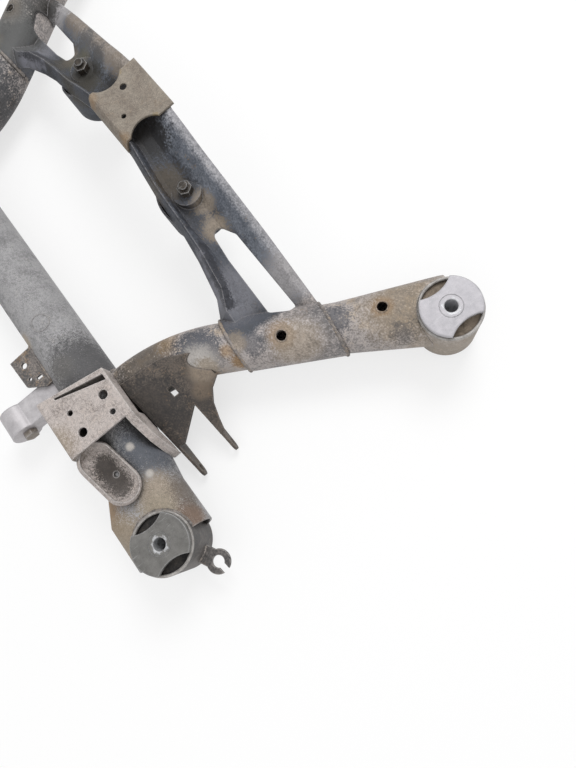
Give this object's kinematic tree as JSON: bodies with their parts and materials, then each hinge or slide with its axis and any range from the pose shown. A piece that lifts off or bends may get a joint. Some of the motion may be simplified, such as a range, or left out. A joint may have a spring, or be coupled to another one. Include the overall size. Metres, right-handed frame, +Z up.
{
  "type": "subframe",
  "caption": "Welded tube rear-axle subframe with an arched channel crossmember, bushed body mounts and brackets for suspension arms.",
  "frame": {"origin": "centre of the four body mounts, at the top faces of their bushing plates", "axes": "+X toward the left side of the car, +Y rearward, +Z up along the mount bolts"},
  "size_m": [1.061, 0.595, 0.169],
  "materials": {
    "tube_steel": "worn grey paint",
    "frame_steel": "worn blue-grey paint with dust and rust",
    "saddle_steel": "dusty tan steel",
    "bracket_steel": "dusty warm grey steel",
    "rubber": "matte",
    "alloy": "satin",
    "worn_alloy": "dull",
    "cast_alloy": "cast",
    "fastener": "dull zinc"
  },
  "bodies": {
    "root": {"cross_tube": "tube_steel", "rear_crossmember": "frame_steel", "saddle_plate": "saddle_steel", "side_tube_left": "frame_steel", "side_tube_right": "frame_steel", "arm_bracket_left": "bracket_steel", "arm_bracket_right": "bracket_steel", "lower_clevis_left": "frame_steel", "lower_clevis_right": "frame_steel", "front_sleeve_left": "frame_steel", "front_sleeve_right": "frame_steel", "rear_sleeve_left": "frame_steel", "rear_sleeve_right": "frame_steel", "front_rubber_left": "rubber", "front_rubber_right": "rubber", "rear_rubber_left": "rubber", "rear_rubber_right": "rubber", "front_core_left": "worn_alloy", "front_core_right": "worn_alloy", "rear_core_left": "alloy", "rear_core_right": "alloy", "hook_clip_left": "tube_steel", "hook_clip_right": "tube_steel", "tab_bracket_left": "tube_steel", "tab_bracket_right": "tube_steel", "stay_arm_left": "cast_alloy", "stay_arm_right": "cast_alloy", "stay_bolt_left": "fastener", "stay_bolt_right": "fastener", "diff_cup_left": "frame_steel", "diff_cup_right": "frame_steel", "diff_rubber_left": "rubber", "diff_rubber_right": "rubber", "diff_stud_left": "fastener", "diff_stud_right": "fastener", "diff_nut_left": "fastener", "diff_nut_right": "fastener"}
  },
  "joints": []
}
